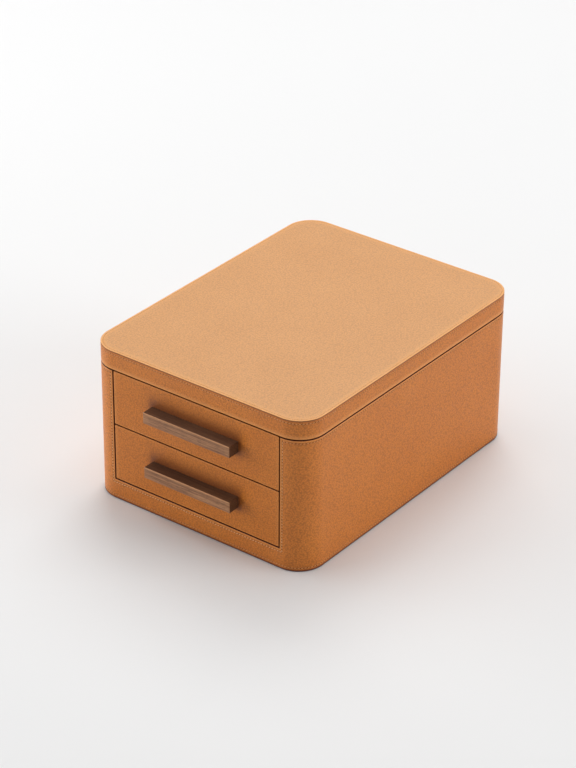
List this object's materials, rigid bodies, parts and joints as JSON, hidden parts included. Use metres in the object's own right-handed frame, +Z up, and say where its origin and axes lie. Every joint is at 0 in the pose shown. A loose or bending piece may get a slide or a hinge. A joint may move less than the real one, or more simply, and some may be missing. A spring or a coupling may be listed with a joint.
{
  "type": "jewelry box with drawers",
  "caption": "Leather-covered jewelry box with a hinged lid over a lined ring tray and a stack of drawers with wooden pull bars.",
  "frame": {"origin": "middle of the underside, on the surface the box stands on", "axes": "+Z up; the drawers face -Y and the lid's hinges are at +Y; +X to the right of someone facing the drawers"},
  "size_m": [0.24, 0.3305, 0.152],
  "materials": {
    "case_leather": "smooth tan",
    "lid_band_leather": "smooth tan",
    "lid_top_leather": "smooth tan",
    "drawer_leather": "smooth tan",
    "inner_leather": "smooth tan",
    "walnut_bar": "satin oiled",
    "drawer_walnut": "satin",
    "drawer_bottom_ply": "plain",
    "runner_wood": "waxed",
    "core_board": "plain",
    "suede": "suede",
    "base_suede": "suede",
    "roll_cloth": "brushed",
    "felt": "felt",
    "hinge_brass": "satin",
    "screw_steel": "plated"
  },
  "bodies": {
    "case": {"base_sheet": "base_suede", "floor_board": "core_board", "side_panel_left": "core_board", "side_panel_right": "core_board", "back_panel": "core_board", "front_rail": "core_board", "corner_post_front_left": "core_board", "corner_post_front_right": "core_board", "corner_post_back_left": "core_board", "corner_post_back_right": "core_board", "case_leather": "case_leather", "partition_left": "core_board", "partition_right": "core_board", "shelf": "core_board", "tray_deck": "core_board", "tray_front_rail": "core_board", "tray_rail_leather": "inner_leather", "drawer_runners": "runner_wood", "drawer_guides": "runner_wood", "felt_pads": "felt", "drawer_stop_tabs": "inner_leather", "tray_liner": "suede", "tray_floor_pad": "suede", "tray_dividers": "suede", "ring_rolls": "roll_cloth", "hinge_case_leaves": "hinge_brass", "hinge_pins": "hinge_brass"},
    "lid": {"lid_board": "core_board", "lid_rails": "core_board", "lid_corner_blocks": "core_board", "lid_side_leather": "lid_band_leather", "lid_top_leather": "lid_top_leather", "lid_lining": "suede", "hinge_lid_leaves": "hinge_brass"},
    "lower_drawer": {"lower_drawer_front_board": "core_board", "lower_drawer_front_leather": "drawer_leather", "lower_pull_bar": "walnut_bar", "lower_pull_bar_screws": "screw_steel", "lower_drawer_side_left": "drawer_walnut", "lower_drawer_side_right": "drawer_walnut", "lower_drawer_back": "drawer_walnut", "lower_drawer_bottom": "drawer_bottom_ply", "lower_drawer_lining": "suede", "lower_drawer_long_divider": "suede", "lower_drawer_cross_dividers": "suede"},
    "upper_drawer": {"upper_drawer_front_board": "core_board", "upper_drawer_front_leather": "drawer_leather", "upper_pull_bar": "walnut_bar", "upper_pull_bar_screws": "screw_steel", "upper_drawer_side_left": "drawer_walnut", "upper_drawer_side_right": "drawer_walnut", "upper_drawer_back": "drawer_walnut", "upper_drawer_bottom": "drawer_bottom_ply", "upper_drawer_lining": "suede", "upper_drawer_long_divider": "suede", "upper_drawer_cross_dividers": "suede"}
  },
  "joints": [
    {"name": "lid_hinge", "type": "hinge", "parent": "case", "child": "lid", "pos_m": [0, 0.1558, 0.1327], "axis": [-1, 0, 0], "range_deg": [0, 100]},
    {"name": "lower_drawer_slide", "type": "slide", "parent": "case", "child": "lower_drawer", "axis": [0, -1, 0], "range_m": [0, 0.2]},
    {"name": "upper_drawer_slide", "type": "slide", "parent": "case", "child": "upper_drawer", "axis": [0, -1, 0], "range_m": [0, 0.2]}
  ]
}
